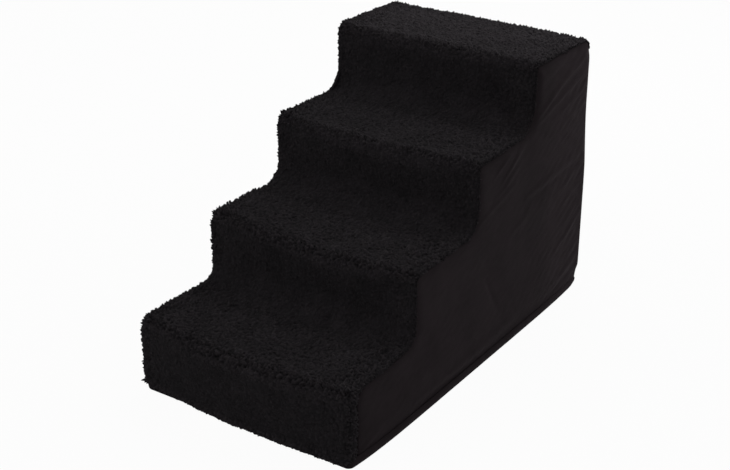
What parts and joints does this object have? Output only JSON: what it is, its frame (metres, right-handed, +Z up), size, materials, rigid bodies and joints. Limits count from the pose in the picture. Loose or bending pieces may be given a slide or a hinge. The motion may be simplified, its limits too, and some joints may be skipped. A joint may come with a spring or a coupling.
{
  "type": "pet stairs",
  "caption": "Foam pet stairs in a removable zipped cover: sherpa pile over the treads and risers, smooth sides, grip base.",
  "frame": {"origin": "the middle of the outer box's footprint, at the floor", "axes": "+X across the stairs to the side seen on the right in the picture, +Y from the low front to the high back, +Z up"},
  "size_m": [0.4, 0.7598, 0.4873],
  "materials": {
    "sherpa": "matte",
    "suede": "matte",
    "foam": "matte",
    "grip_cloth": "matte",
    "grip_dots": "satin",
    "zip_tape": "matte",
    "zip_coil": "satin",
    "zip_metal": "satin"
  },
  "bodies": {
    "stairs": {"foam_slab_base": "foam", "foam_slab_second": "foam", "foam_slab_third": "foam", "foam_slab_top": "foam", "sherpa_runner": "sherpa", "left_side_panel": "suede", "right_side_panel": "suede", "base_panel": "grip_cloth", "grip_dots": "grip_dots", "back_panel_upper": "suede", "back_panel_lower": "suede", "zip_tape_upper": "zip_tape", "zip_tape_lower": "zip_tape", "zip_coil_upper": "zip_coil", "zip_coil_lower": "zip_coil", "zip_end_stops": "zip_metal", "zip_bottom_stop": "zip_metal"},
    "slider": {"zip_slider": "zip_metal"},
    "pull": {"zip_pull": "zip_metal"}
  },
  "joints": [
    {"name": "zip_travel", "type": "slide", "parent": "stairs", "child": "slider", "axis": [-1, 0, 0], "range_m": [0, 0.3314]},
    {"name": "pull_swing", "type": "hinge", "parent": "slider", "child": "pull", "pos_m": [0.1657, 0.3789, 0.062], "axis": [0, 0, -1], "range_deg": [0, 180]}
  ]
}
